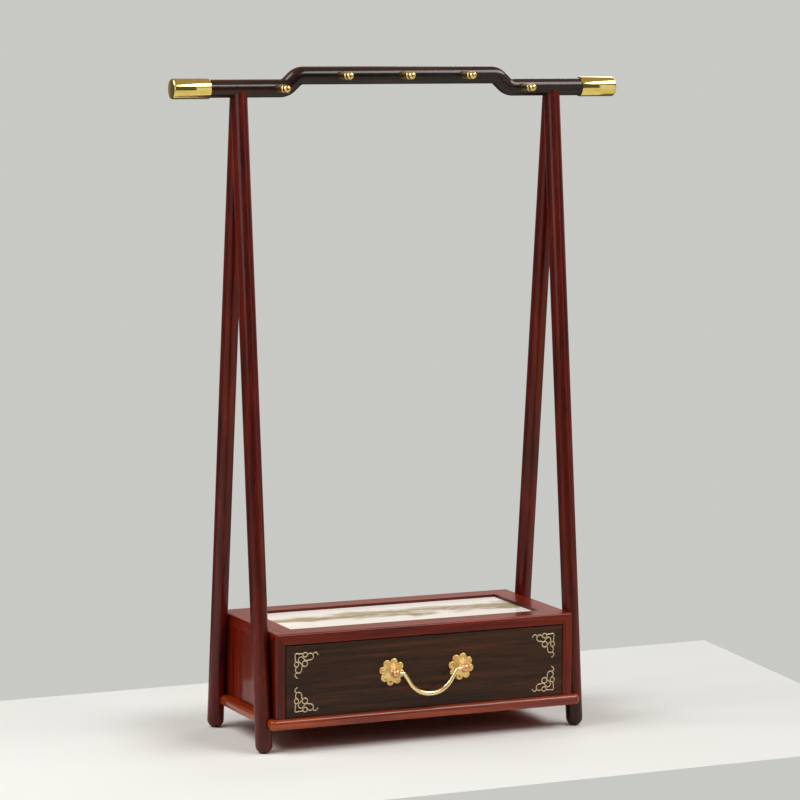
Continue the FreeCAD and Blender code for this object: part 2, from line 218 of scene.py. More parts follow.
def new_finish(name):
    finish = bpy.data.materials.new(name)
    finish.use_nodes = True
    finish.node_tree.nodes.clear()
    return finish, Bench(finish.node_tree)


def finish_off(bench, inputs):
    """The shader itself, and the output. A plain number is set on the shader's own socket."""
    shader = bench.add("ShaderNodeBsdfPrincipled", None, inputs)
    bench.add("ShaderNodeOutputMaterial", None, {"Surface": shader})


def pulled(bench, grain, crosswise):
    """Object coordinates squeezed across the grain, so that a round noise becomes long streaks."""
    place = bench.add("ShaderNodeTexCoord", output="Object")
    stretch = [crosswise] * 3
    stretch["XYZ".index(grain)] = crosswise / GRAIN_STRETCH
    return bench.add("ShaderNodeVectorMath", {"operation": "MULTIPLY"}, {0: place, 1: stretch})


def heartwood_below(bench, colour, height):
    """Painted shade: darker and greyer under that height, with a soft line where it starts."""
    place = bench.add("ShaderNodeTexCoord", output="Object")
    rise = bench.add("ShaderNodeSeparateXYZ", None, {"Vector": place}, output="Z")
    share = bench.ramp(rise, height - FOOT_SHADE_FADE, height + FOOT_SHADE_FADE, 1.0, 0.0, "SMOOTHSTEP")
    return bench.mix(share, colour, FOOT_SHADE_PAINT, "MULTIPLY")


def wood(name, grain, tones, band, fibre, pore_depth, coat,
         coat_roughness=0.12, roughness=0.40, gloss=0.15, shade_below=None):
    """band and fibre say how many streaks there are to a metre across the grain.
    tones runs from the darkest colour to the lightest, as (share, colour) stops."""
    finish, bench = new_finish(name)
    bands = bench.noise(pulled(bench, grain, band), 1.0, 3.0, 0.55, 0.4)
    fibres = bench.noise(pulled(bench, grain, fibre), 1.0, 5.0, 0.65)
    tone = bands * BAND_SHARE + fibres * (1 - BAND_SHARE)
    colour = bench.add("ShaderNodeValToRGB", {"stops": tones}, {"Fac": tone})
    pores = bench.noise(pulled(bench, grain, fibre * PORES_PER_FIBRE), 1.0, 1.0)
    pore = bench.ramp(pores, 0.60, 0.70)
    colour = bench.mix(pore * pore_depth, colour, PORE_SHADE, "MULTIPLY")
    if shade_below:
        colour = heartwood_below(bench, colour, shade_below)
    bump = bench.add("ShaderNodeBump", None, {
        "Strength": 0.12, "Distance": GRAIN_DEPTH, "Height": fibres - pore * 0.5})
    finish_off(bench, {
        "Base Color": colour, "Roughness": fibres * 0.12 + (roughness - 0.06), "Normal": bump,
        "Specular IOR Level": gloss, "Coat Weight": coat, "Coat Roughness": coat_roughness,
        "IOR": LACQUER_INDEX, "Coat IOR": LACQUER_INDEX})
    print(name, "along", grain)
    return finish


ROSEWOOD = [(0.28, linear(58, 12, 5)), (0.44, linear(94, 22, 10)),
            (0.56, linear(116, 31, 13)), (0.72, linear(146, 46, 18))]
LEG_WOOD = [(0.28, linear(48, 9, 4)), (0.44, linear(77, 18, 8)),
            (0.56, linear(96, 25, 10)), (0.72, linear(120, 37, 14))]
EBONY = [(0.30, linear(16, 9, 8)), (0.48, linear(29, 14, 10)),
         (0.60, linear(56, 26, 15)), (0.75, linear(96, 44, 22))]
DRAWER_DARK = [(0.30, linear(38, 25, 18)), (0.46, linear(56, 37, 25)),
               (0.58, linear(72, 44, 28)), (0.72, linear(96, 54, 31))]
BASE_WOOD = [(0.28, linear(86, 24, 10)), (0.44, linear(130, 45, 17)),
             (0.56, linear(158, 62, 23)), (0.72, linear(186, 85, 34))]
PLAIN_WOOD = [(0.30, linear(150, 112, 76)), (0.50, linear(178, 140, 100)), (0.70, linear(196, 160, 120))]

# Painted shade: below this height the front right leg is painted darker and greyer, where its foot stands
# under the base rail.
FOOT_SHADE_HEIGHT = 17 * MM

rosewood = {grain: wood("rosewood_" + grain.lower(), grain, ROSEWOOD, band=190, fibre=900, pore_depth=0.45,
                        coat=0.4, coat_roughness=0.09, gloss=0.1)
            for grain in "XYZ"}
leg_wood = wood("leg_wood", "Z", LEG_WOOD, band=210, fibre=1000, pore_depth=0.45, coat=0.38)
shaded_foot_wood = wood("shaded_foot_wood", "Z", LEG_WOOD, band=210, fibre=1000, pore_depth=0.45, coat=0.38,
                      shade_below=FOOT_SHADE_HEIGHT)
base_wood = {grain: wood("base_wood_" + grain.lower(), grain, BASE_WOOD, band=190, fibre=900, pore_depth=0.4,
                         coat=0.7)
             for grain in "XY"}
beam_wood = wood("beam_wood", "X", EBONY, band=240, fibre=1100, pore_depth=0.35,
                 coat=0.65, coat_roughness=0.13, roughness=0.45, gloss=0.1)
drawer_wood = wood("drawer_front_wood", "X", DRAWER_DARK, band=260, fibre=1000, pore_depth=0.5,
                   coat=0.12, coat_roughness=0.2, roughness=0.50, gloss=0.2)
inner_wood = {grain: wood("inner_wood_" + grain.lower(), grain, PLAIN_WOOD, band=150, fibre=800,
                          pore_depth=0.3, coat=0.0, coat_roughness=0.3, roughness=0.62, gloss=0.4)
              for grain in "XY"}

# %% [markdown]
# ## Brass, wire and tile
#
# Brass is a mirror that tints what it reflects. The polished caps are the
# cleanest, the rosettes are softer and paler, and the cast knobs lean towards
# copper. A little blotchiness in the roughness keeps it from looking like a
# toy. The tile is white glaze with a thin wash of grey and brown under it.

# %% Mix the brass and the glaze
SCRATCH_DEPTH = 0.1 * MM


def metal(name, colour, shade, roughness, unevenness, blotch):
    """Polished metal whose colour drifts a little towards shade, in blotches of that many per metre."""
    finish, bench = new_finish(name)
    place = bench.add("ShaderNodeTexCoord", output="Object")
    cloud = bench.noise(place, blotch, 4.0, 0.6)
    skin = bench.mix(bench.ramp(cloud, 0.35, 0.7), (*colour, 1.0), (*shade, 1.0))
    bump = bench.add("ShaderNodeBump", None, {"Strength": 0.05, "Distance": SCRATCH_DEPTH, "Height": cloud})
    finish_off(bench, {
        "Base Color": skin, "Metallic": 1.0, "Roughness": cloud * unevenness + roughness, "Normal": bump})
    print(name)
    return finish


cap_brass = metal("cap_brass", linear(240, 220, 138), linear(228, 202, 114),
                  roughness=0.05, unevenness=0.07, blotch=260)
peg_brass = metal("peg_brass", linear(236, 210, 146), linear(210, 174, 104),
                  roughness=0.16, unevenness=0.12, blotch=420)
rosette_brass = metal("rosette_brass", linear(250, 222, 150), linear(238, 186, 112),
                      roughness=0.42, unevenness=0.10, blotch=260)
knob_brass = metal("knob_brass", linear(238, 187, 140), linear(222, 164, 112),
                   roughness=0.38, unevenness=0.12, blotch=420)
bail_brass = metal("bail_brass", linear(252, 230, 178), linear(244, 210, 146),
                   roughness=0.22, unevenness=0.12, blotch=380)
nail_brass = metal("nail_brass", linear(150, 112, 62), linear(90, 62, 36),
                   roughness=0.35, unevenness=0.2, blotch=800)
inlay_wire = metal("inlay_wire", linear(228, 214, 180), linear(196, 176, 138),
                   roughness=0.38, unevenness=0.16, blotch=700)

GLAZE_WHITE = linear(252, 249, 238)
INK = [(0.35, linear(128, 122, 92)), (0.6, linear(172, 162, 124))]
BAND_MIDDLE = 34 * MM
BAND_SWAY = 60 * MM
BAND_CORE = 3 * MM
BAND_EDGE = 20 * MM
GLAZE_INDEX = 1.2
RIPPLE_DEPTH = 0.4 * MM


def glazed_tile():
    """White glaze over a wash of ink: one loose band that sways along the tile and breaks up at its edges."""
    finish, bench = new_finish("porcelain")
    place = bench.add("ShaderNodeTexCoord", output="Object")
    flat = bench.add("ShaderNodeVectorMath", {"operation": "MULTIPLY"}, {0: place, 1: (1.0, 2.6, 0.0)})
    mist = bench.noise(flat, 17.0, 7.0, 0.62, 0.5)
    brush = bench.noise(flat, 70.0, 5.0, 0.7, 1.2)
    depth = bench.add("ShaderNodeSeparateXYZ", None, {"Vector": place}, output="Y")
    from_band = depth + mist * BAND_SWAY - BAND_MIDDLE
    off_band = bench.add("ShaderNodeMath", {"operation": "ABSOLUTE"}, {0: from_band})
    band = bench.ramp(off_band, BAND_CORE, BAND_EDGE, 1.0, 0.0, "SMOOTHSTEP")
    wash = bench.ramp(band * (mist * 0.5 + brush * 0.9), 0.26, 0.72)
    ink = bench.add("ShaderNodeValToRGB", {"stops": INK}, {"Fac": brush})
    colour = bench.mix(wash, (*GLAZE_WHITE, 1.0), ink)
    ripple = bench.noise(place, 40.0, 1.0)
    bump = bench.add("ShaderNodeBump", None, {"Strength": 0.06, "Distance": RIPPLE_DEPTH, "Height": ripple})
    finish_off(bench, {
        "Base Color": colour, "Roughness": ripple * 0.05 + 0.06, "Normal": bump, "IOR": GLAZE_INDEX,
        "Specular IOR Level": 0.2})
    print("porcelain")
    return finish


porcelain = glazed_tile()

# %% [markdown]
# ## Handing a piece over
#
# Every finished piece is told what it moves with, and the CAD pieces it stands for are hidden.

# %% Helpers for finished pieces
def piece_of(name, mesh, finish):
    piece = bpy.data.objects.new(name, mesh)
    bpy.context.scene.collection.objects.link(piece)
    mesh.materials.clear()
    mesh.materials.append(finish)
    return piece


def hand_over(piece, body, slot, *nodes):
    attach(piece, body)
    if nodes:
        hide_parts(*nodes)
    print(piece.name, len(piece.data.polygons), "faces")


def shade(mesh, degrees=32):
    """Round where the faces meet softly, crisp where they meet at more than that angle."""
    mesh.shade_smooth()
    mesh.set_sharp_from_angle(angle=math.radians(degrees))


def mesh_of(form, name):
    """A new mesh of the form, which is then let go."""
    mesh = bpy.data.meshes.new(name)
    form.to_mesh(mesh)
    form.free()
    return mesh


def baked(piece):
    """What the modifiers make of a piece, as a plain mesh."""
    sight = bpy.context.evaluated_depsgraph_get()
    return bpy.data.meshes.new_from_object(piece.evaluated_get(sight))


# %% [markdown]
# ## Flat wood
#
# A joiner never leaves a sharp edge: lacquer would run off it. Each flat piece
# is a merged copy of its CAD piece, with its loose triangles joined up again
# and a small bevel on every sharp edge. That also draws the thin lines where
# rails and posts meet in a mitre.

# %% Break the edges of the flat pieces
SAME_PLACE = 0.002 * MM
SAME_PLANE = math.radians(0.5)
SHARP = math.radians(35)
FRAME_EDGE = 0.22
PANEL_EDGE = 0.2
FRONT_EDGE = 0.3
BOX_EDGE = 0.4
GLAZE_EDGE = 0.5


def merged_copy(node, name):
    """The CAD piece as a clean mesh, its flat faces whole again."""
    form = bmesh.new()
    form.from_mesh(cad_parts[node].data)
    bmesh.ops.remove_doubles(form, verts=form.verts, dist=SAME_PLACE)
    bmesh.ops.dissolve_limit(form, angle_limit=SAME_PLANE, verts=form.verts, edges=form.edges)
    mesh = mesh_of(form, name)
    for layer in [part.name for part in mesh.attributes if part.name == "custom_normal"]:
        mesh.attributes.remove(mesh.attributes[layer])
    return mesh


def settled(name, mesh, finish, width):
    """Bevels the sharp edges. Then flat faces keep flat light, and only the narrow round ones turn it."""
    mesh.shade_smooth()
    rough = piece_of(name + "_raw", mesh, finish)
    bevel = rough.modifiers.new("bevel", "BEVEL")
    bevel.width = width * MM
    bevel.segments = 2
    bevel.limit_method = "ANGLE"
    bevel.angle_limit = SHARP
    light = rough.modifiers.new("light", "WEIGHTED_NORMAL")
    light.weight = 100
    light.keep_sharp = True
    result = baked(rough)
    bpy.data.objects.remove(rough)
    result.name = name
    return piece_of(name, result, finish)


def broken_edges(node, finish, slot, width, body="stand"):
    name = node + "_wood"
    hand_over(settled(name, merged_copy(node, name), finish, width), body, slot, node)


for end in ("front", "back"):
    broken_edges("top_rail_" + end, rosewood["X"], "rosewood", FRAME_EDGE)
    # Painted shade: the left posts take the darker leg finish, which stands in for the shade that falls on
    # the case's left side.
    broken_edges("post_" + end + "_left", leg_wood, "rosewood", FRAME_EDGE)
    broken_edges("post_" + end + "_right", rosewood["Z"], "rosewood", FRAME_EDGE)
for side in ("left", "right"):
    broken_edges("top_rail_" + side, rosewood["Y"], "rosewood", FRAME_EDGE)
    broken_edges("side_panel_" + side, rosewood["Z"], "rosewood", PANEL_EDGE)
    broken_edges("drawer_side_" + side, inner_wood["Y"], "inner_wood", BOX_EDGE, "drawer")
broken_edges("back_panel", rosewood["X"], "rosewood", PANEL_EDGE)
broken_edges("tile", porcelain, "porcelain", GLAZE_EDGE)
broken_edges("drawer_front", drawer_wood, "drawer_front_wood", FRONT_EDGE, "drawer")
broken_edges("drawer_back", inner_wood["X"], "inner_wood", BOX_EDGE, "drawer")

# %% [markdown]
# ## The base frame
#
# The base has a round nose, and its outer corners are rounded off too. The
# CAD piece keeps them square. Here the corner is cut into slices, and each
# slice's square corner is pulled back onto a quarter circle.

# %% Round the corners of the base
CORNER_ROUND = 3.2 * MM
CORNER_CUTS = 6
CUT_TOLERANCE = 1e-7
base_low, base_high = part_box("base_rail_front")
base_half_x = base_high.x
base_half_y = -base_low.y


def round_corner(point):
    """Square shells about the corner's inner point become round ones."""
    across = abs(point.x) - (base_half_x - CORNER_ROUND)
    along = abs(point.y) - (base_half_y - CORNER_ROUND)
    if across <= 0 or along <= 0:
        return
    reach = max(across, along)
    angle = math.radians(45) * (along / across if across >= along else 2 - across / along)
    point.x = math.copysign(base_half_x - CORNER_ROUND + reach * math.cos(angle), point.x)
    point.y = math.copysign(base_half_y - CORNER_ROUND + reach * math.sin(angle), point.y)


def cut_flat(form, place, normal, tolerance=0.0, drop_outside=False):
    """Cuts a mesh along a plane. What lies on the normal's side can be dropped."""
    bmesh.ops.bisect_plane(form, geom=form.verts[:] + form.edges[:] + form.faces[:], dist=tolerance,
                           plane_co=place, plane_no=normal, clear_outer=drop_outside)


def base_rail(name, grain):
    node = "base_rail_" + name
    mesh = merged_copy(node, node + "_wood")
    form = bmesh.new()
    form.from_mesh(mesh)
    for number in range(CORNER_CUTS):
        inset = CORNER_ROUND * (1 - number / CORNER_CUTS)
        for normal, half in ((Vector((1, 0, 0)), base_half_x), (Vector((0, 1, 0)), base_half_y)):
            for way in (-1, 1):
                cut_flat(form, normal * way * (half - inset), normal, CUT_TOLERANCE)
    for vertex in form.verts:
        round_corner(vertex.co)
    form.to_mesh(mesh)
    form.free()
    hand_over(settled(node + "_wood", mesh, base_wood[grain], PANEL_EDGE), "stand", "rosewood", node)


for name in ("front", "back"):
    base_rail(name, "X")
for name in ("left", "right"):
    base_rail(name, "Y")

# %% [markdown]
# ## Turned pieces
#
# Legs, caps, pegs and knobs come off a lathe, so one helper spins a profile
# about any axis. A profile is a list of points: how far along, and how wide.
# Each leg runs from the ball of its foot to the middle of the beam. It is cut
# off where it meets its partner under the beam, and flat where it stands.

# %% Turn the legs
def turned(name, profile, start, direction, sides=48):
    """Spins (distance along, radius) points about the axis through start. Lengths are in millimetres."""
    run = Vector(direction).normalized()
    across = run.orthogonal().normalized()
    upright = run.cross(across)
    form = bmesh.new()
    rings = []
    for distance, radius in profile:
        centre = (Vector(start) + run * distance) * MM
        if radius == 0:
            rings.append([form.verts.new(centre)] * sides)
            continue
        ring = []
        for number in range(sides):
            turn = 2 * math.pi * number / sides
            outward = across * math.cos(turn) + upright * math.sin(turn)
            ring.append(form.verts.new(centre + outward * radius * MM))
        rings.append(ring)
    for near, far in zip(rings, rings[1:]):
        for number in range(sides):
            corners = [near[number], near[number - 1], far[number - 1], far[number]]
            form.faces.new(list(dict.fromkeys(corners)))
    bmesh.ops.recalc_face_normals(form, faces=form.faces)
    return mesh_of(form, name)


def quarter(centre, radius, low, high, start=0.0, steps=8):
    """Points of a round edge: a circle's arc about (centre along, its own radius off the axis)."""
    return [(centre + radius * math.sin(math.radians(low + (high - low) * number / steps)),
             start + radius * math.cos(math.radians(low + (high - low) * number / steps)))
            for number in range(steps + 1)]


FOOT_SPREAD = 90.4
FOOT_FLAT = 2.3
leg_x = middle("leg_front_right").x
leg_radius = high_corner("leg_front_right").x - leg_x
beam_height = middle("beam_caps").z
foot_height = math.sqrt(leg_radius ** 2 - FOOT_FLAT ** 2)
foot_y = FOOT_SPREAD / 2 * (1 - foot_height / beam_height)

for side, side_name in ((-1, "left"), (1, "right")):
    for end, end_name in ((-1, "front"), (1, "back")):
        foot = Vector((side * leg_x, end * foot_y, foot_height))
        run = Vector((side * leg_x, 0, beam_height)) - foot
        round_end = quarter(0, leg_radius, -90, 0, steps=10)
        profile = [(-leg_radius, 0)] + round_end[1:] + [(run.length, leg_radius), (run.length, 0)]
        name = "leg_" + end_name + "_" + side_name
        mesh = turned(name + "_wood", profile, foot, run)
        form = bmesh.new()
        form.from_mesh(mesh)
        cut_flat(form, (0, 0, 0), (0, -end, 0), drop_outside=True)
        cut_flat(form, (0, 0, 0), (0, 0, -1), drop_outside=True)
        bmesh.ops.holes_fill(form, edges=[edge for edge in form.edges if edge.is_boundary])
        bmesh.ops.recalc_face_normals(form, faces=form.faces)
        form.to_mesh(mesh)
        form.free()
        shade(mesh)
        # The front right leg's foot gets painted shade. The other legs get the plain leg finish.
        finish = shaded_foot_wood if name == "leg_front_right" else leg_wood
        hand_over(piece_of(name + "_wood", mesh, finish), "stand", "rosewood", name)

# %% [markdown]
# ## Pieces that follow a path
#
# The beam, the bail and the inlaid wires are one idea three times: a round
# section pushed along a line. A node tree does the pushing. It takes a mesh of
# bare edges, turns it into curves, and lays a circle along them. An attribute
# named `swell` thickens the section where a piece is fatter.

# %% Make the path tree
def new_tree(name, inputs):
    """An empty node group: geometry in and out, and the named inputs given as (name, type, value)."""
    group = bpy.data.node_groups.new(name, "GeometryNodeTree")
    group.interface.new_socket("Geometry", in_out="INPUT", socket_type="NodeSocketGeometry")
    group.interface.new_socket("Geometry", in_out="OUTPUT", socket_type="NodeSocketGeometry")
    for label, kind, value in inputs:
        socket = group.interface.new_socket(label, in_out="INPUT", socket_type="NodeSocket" + kind)
        if value is not None:
            socket.default_value = value
    bench = Bench(group)
    return group, bench, bench.add("NodeGroupInput")


def end_tree(bench, geometry, finish):
    """The last nodes of every tree: the geometry gets its finish and goes out."""
    dressed = bench.add("GeometryNodeSetMaterial", None, {"Geometry": geometry, "Material": finish})
    bench.add("NodeGroupOutput", None, {"Geometry": dressed})


def through(tree, name, mesh, values, finish):
    """Runs a mesh through a tree and returns the plain mesh that comes out."""
    raw = piece_of(name + "_raw", mesh, finish)
    modifier = raw.modifiers.new("tree", "NODES")
    modifier.node_group = tree
    for item in tree.interface.items_tree:
        if item.in_out == "INPUT" and item.name in values:
            modifier[item.identifier] = values[item.name]
    result = baked(raw)
    bpy.data.objects.remove(raw)
    result.name = name
    shade(result)
    return result


section_tree, bench, given = new_tree("section_along_path", [
    ("Radius", "Float", 0.001), ("Sides", "Int", 24), ("Finish", "Material", None)])
curves = bench.add("GeometryNodeMeshToCurve", None, {"Mesh": given})
swell = bench.add("GeometryNodeInputNamedAttribute", {"data_type": "FLOAT"}, {"Name": "swell"},
                  output="Attribute")
wide = bench.add("GeometryNodeSetCurveRadius", None, {"Curve": curves, "Radius": swell})
circle = bench.add("GeometryNodeCurvePrimitiveCircle", {"mode": "RADIUS"}, {
    "Resolution": given.other("Sides"), "Radius": given.other("Radius")})
tube = bench.add("GeometryNodeCurveToMesh", None, {
    "Curve": wide, "Profile Curve": circle, "Scale": swell, "Fill Caps": True})
whole = bench.add("GeometryNodeRealizeInstances", None, {"Geometry": tube})
end_tree(bench, whole, given.other("Finish"))
print(section_tree.name, len(section_tree.nodes), "nodes")


def edges_through(name, runs, swells=None):
    """A mesh of bare edges through each run of points, in millimetres, with the swell at each point."""
    mesh = bpy.data.meshes.new(name)
    points = [point * MM for run in runs for point in run]
    edges = []
    first = 0
    for run in runs:
        edges += [(first + number, first + number + 1) for number in range(len(run) - 1)]
        first += len(run)
    mesh.from_pydata(points, edges, [])
    layer = mesh.attributes.new("swell", "FLOAT", "POINT")
    layer.data.foreach_set("value", swells or [1.0] * len(points))
    return mesh


def rounded(points, radii, step=5.0):
    """Points along straight runs with rounded corners. Along an arc they lie about step degrees apart."""
    path = [points[0]]
    for before, corner, after, radius in zip(points, points[1:], points[2:], radii):
        back = (before - corner).normalized()
        on = (after - corner).normalized()
        half = back.angle(on) / 2
        centre = corner + (back + on).normalized() * (radius / math.sin(half))
        first = (corner + back * (radius / math.tan(half)) - centre).normalized()
        last = (corner + on * (radius / math.tan(half)) - centre).normalized()
        count = max(2, round(math.degrees(math.pi - 2 * half) / step))
        path += [centre + first.slerp(last, number / count) * radius for number in range(count + 1)]
    return path + [points[-1]]


# %% [markdown]
# The beam is bent up in its middle, so that the brushes hang clear of the
# tile. It is one dark rod, 12 mm thick, with four easy bends. It stays a hair
# under its CAD size, so that its many fine sides fit inside the caps.

# %% Bend the beam
BEAM_RADIUS = 5.98
CRANK_INSET = 37.6
CRANK_ANGLE = math.radians(42.5)
CRANK_BEND = 9.0
CRANK_STEP = 5.3
beam_end = high_corner("beam").x
crank_x = leg_x - CRANK_INSET
crank_rise = middle("peg_3").z - middle("peg_1").z
half_slope = crank_rise / math.tan(CRANK_ANGLE) / 2


def and_mirrored(left_half):
    """The points of a left half, and after them those of the right half."""
    return left_half + [Vector((-point.x, point.y, point.z)) for point in reversed(left_half)]


beam_corners = and_mirrored([
    Vector((-beam_end, 0, beam_height)), Vector((-crank_x - half_slope, 0, beam_height)),
    Vector((-crank_x + half_slope, 0, beam_height + crank_rise))])
beam_line = edges_through("beam_line", [rounded(beam_corners, [CRANK_BEND] * 4, CRANK_STEP)])
beam = through(section_tree, "beam_rod", beam_line,
               {"Radius": BEAM_RADIUS * MM, "Sides": 56, "Finish": beam_wood}, beam_wood)
hand_over(piece_of("beam_rod", beam, beam_wood), "stand", "beam_wood", "beam")

# %% [markdown]
# ## Brass caps
#
# A ferrule is a short cup, spun thin, with its closed end's edge rolled over.
# The profile goes up the inside and comes back down the outside.

# %% Turn the caps
CAP_LENGTH = 26.0
CAP_END_WALL = 1.5
CAP_RADIUS = 6.75
CAP_BORE = 6.05
CAP_ROLL = 1.1


def cap_profile():
    rolled = quarter(CAP_LENGTH - CAP_ROLL, CAP_ROLL, 0, 90, CAP_RADIUS - CAP_ROLL, 8)
    lip = [(0.25, CAP_BORE), (0.06, CAP_BORE + 0.1), (0, CAP_BORE + 0.3),
           (0.06, CAP_RADIUS - 0.12), (0.3, CAP_RADIUS)]
    inside = [(CAP_LENGTH - CAP_END_WALL, 0), (CAP_LENGTH - CAP_END_WALL, CAP_BORE)]
    return inside + lip + rolled + [(CAP_LENGTH, 0)]


form = bmesh.new()
for side in (-1, 1):
    mouth = (side * (high_corner("beam_caps").x - CAP_LENGTH), 0, beam_height)
    form.from_mesh(turned("cap", cap_profile(), mouth, (side, 0, 0), 72))
caps = mesh_of(form, "cap_pair")
shade(caps, 28)
hand_over(piece_of("cap_pair", caps, cap_brass), "stand", "brass", "beam_caps")

# %% [markdown]
# ## Pegs
#
# Five pegs, all alike, stand on the beam's front: a shaft, a groove where the
# brush's loop hangs, and a rounded head. One is turned here, and a node tree
# sets out the row and lifts the ones that stand on the beam's raised middle.

# %% Turn one peg and set out five
PEG_COUNT = 5
PEG_RADIUS = 2.6
PEG_NECK = 1.8
PEG_HEAD = 3.9
PEG_GROOVE = 1.6
PEG_ROOT = 1.4
PEG_ROOT_RADIUS = 1.7
PEG_DOME = 2.2
peg_length = -low_corner("peg_1").y - BEAM_RADIUS
peg_pitch = middle("peg_2").x - middle("peg_1").x

shaft_end = peg_length - PEG_HEAD - PEG_GROOVE
head = shaft_end + PEG_GROOVE
peg_profile = [(-PEG_ROOT, 0), (-PEG_ROOT, PEG_ROOT_RADIUS), (0, PEG_ROOT_RADIUS), (0, PEG_RADIUS)]
peg_profile += [(shaft_end - 0.9, PEG_RADIUS)] + quarter(shaft_end - 0.5, 0.5, 0, 80, PEG_RADIUS - 0.5, 4)
peg_profile += [(shaft_end + 0.3, PEG_NECK), (head - 0.3, PEG_NECK)]
peg_profile += [(head, PEG_RADIUS - 0.35), (head + 0.35, PEG_RADIUS), (head + 1.5, PEG_RADIUS)]
peg_profile += quarter(head + 1.7, PEG_DOME, 5, 90, PEG_RADIUS - PEG_DOME, 10)[1:-1] + [(peg_length, 0)]
one_peg = turned("one_peg", peg_profile, (0, -BEAM_RADIUS, beam_height), (0, -1, 0), 36)
peg_pattern = piece_of("peg_pattern", one_peg, peg_brass)

row_tree, bench, given = new_tree("row_of_pegs", [
    ("Peg", "Object", None), ("Count", "Int", 5), ("Pitch", "Float", 0.04), ("Rise", "Float", 0.0),
    ("Raised within", "Float", 0.07), ("Finish", "Material", None)])
first_place = bench.add("ShaderNodeCombineXYZ", None, {
    "X": given.other("Pitch") * (given.other("Count") - 1) * -0.5})
pitch = bench.add("ShaderNodeCombineXYZ", None, {"X": given.other("Pitch")})
row = bench.add("GeometryNodeMeshLine", {"mode": "OFFSET"}, {
    "Count": given.other("Count"), "Start Location": first_place, "Offset": pitch})
place = bench.add("GeometryNodeInputPosition")
along = bench.add("ShaderNodeSeparateXYZ", None, {"Vector": place}, output="X")
off_middle = bench.add("ShaderNodeMath", {"operation": "ABSOLUTE"}, {0: along})
raised = bench.add("ShaderNodeMath", {"operation": "LESS_THAN"}, {
    0: off_middle, 1: given.other("Raised within")})
lift = bench.add("ShaderNodeCombineXYZ", None, {"Z": raised * given.other("Rise")})
lifted = bench.add("GeometryNodeSetPosition", None, {"Geometry": row, "Offset": lift})
pattern = bench.add("GeometryNodeObjectInfo", None, {"Object": given.other("Peg")}, output="Geometry")
standing = bench.add("GeometryNodeInstanceOnPoints", None, {"Points": lifted, "Instance": pattern})
whole = bench.add("GeometryNodeRealizeInstances", None, {"Geometry": standing})
end_tree(bench, whole, given.other("Finish"))

pegs = through(row_tree, "peg_row", bpy.data.meshes.new("row"), {
    "Peg": peg_pattern, "Count": PEG_COUNT, "Pitch": peg_pitch * MM, "Rise": crank_rise * MM,
    "Raised within": crank_x * MM, "Finish": peg_brass}, peg_brass)
bpy.data.objects.remove(peg_pattern)
hand_over(piece_of("peg_row", pegs, peg_brass), "stand", "brass",
          *["peg_" + str(number) for number in range(1, PEG_COUNT + 1)])

# %% [markdown]
# ## Rosettes
#
# Each rosette is a cast flower of eight petals. One petal is a slice of 45
# degrees, modelled as a height above the wood at each point: the petal's own
# shallow dish, its rounded rim, and the raised middle that all petals share.
# A node tree turns eight of them about the post and joins them up.

# %% Shape one petal and turn eight
PETALS = 8
PETAL_RING = 6.6
PETAL_RADIUS = 2.75
PETAL_TURN = 11.0
ROSETTE_TOP = 2.3
RIM_HEIGHT = 0.95
RIM_ROUND = 0.9
DISH_DEPTH = 0.34
CLEFT_DEPTH = 0.34
POST_HOLE = 1.5
MERGE_WITHIN = 0.01 * MM
drawer_face = low_corner("drawer_front").y
rosette_x = middle("handle_post_right").x
handle_height = middle("handle_post_right").z


def eased(low, high, value):
    share = min(max((value - low) / (high - low), 0.0), 1.0)
    return share * share * (3 - 2 * share)


def petal_edge(angle):
    """How far out the petal reaches in that direction."""
    sideways = PETAL_RING * math.sin(angle)
    return PETAL_RING * math.cos(angle) + math.sqrt(max(PETAL_RADIUS ** 2 - sideways ** 2, 0))


def petal_height(distance, angle):
    """How high the rosette stands above the wood at one point of the slice."""
    from_edge = petal_edge(angle) - distance
    rim = RIM_HEIGHT * math.sqrt(max(0.0, 1 - (1 - min(from_edge / RIM_ROUND, 1.0)) ** 2))
    to_centre = math.hypot(distance * math.sin(angle), distance * math.cos(angle) - PETAL_RING)
    dish = DISH_DEPTH * (1 - eased(0.2, 1.7, to_centre))
    to_next = math.pi / PETALS - abs(angle)
    cleft = CLEFT_DEPTH * eased(0.14, 0.0, to_next) * eased(4.0, 6.6, distance)
    dome = (ROSETTE_TOP - RIM_HEIGHT) * eased(6.2, 1.0, distance)
    return rim - dish - cleft + dome


def petal_mesh(rings=26, slices=14):
    """The slice as a grid, whose points crowd towards the rim."""
    form = bmesh.new()
    half = math.pi / PETALS
    grid = []
    for number in range(slices + 1):
        angle = -half + 2 * half * number / slices
        reach = petal_edge(angle) - POST_HOLE
        line = []
        for step in range(rings + 1):
            distance = POST_HOLE + reach * (1 - (1 - step / rings) ** 1.5)
            across, up = distance * math.sin(angle), distance * math.cos(angle)
            line.append(form.verts.new(Vector((across, -petal_height(distance, angle), up)) * MM))
        grid.append(line)
    for near, far in zip(grid, grid[1:]):
        for step in range(rings):
            form.faces.new([near[step], near[step + 1], far[step + 1], far[step]])
    form.normal_update()
    if sum(face.normal.y for face in form.faces) > 0:
        bmesh.ops.reverse_faces(form, faces=form.faces)
    return mesh_of(form, "petal")


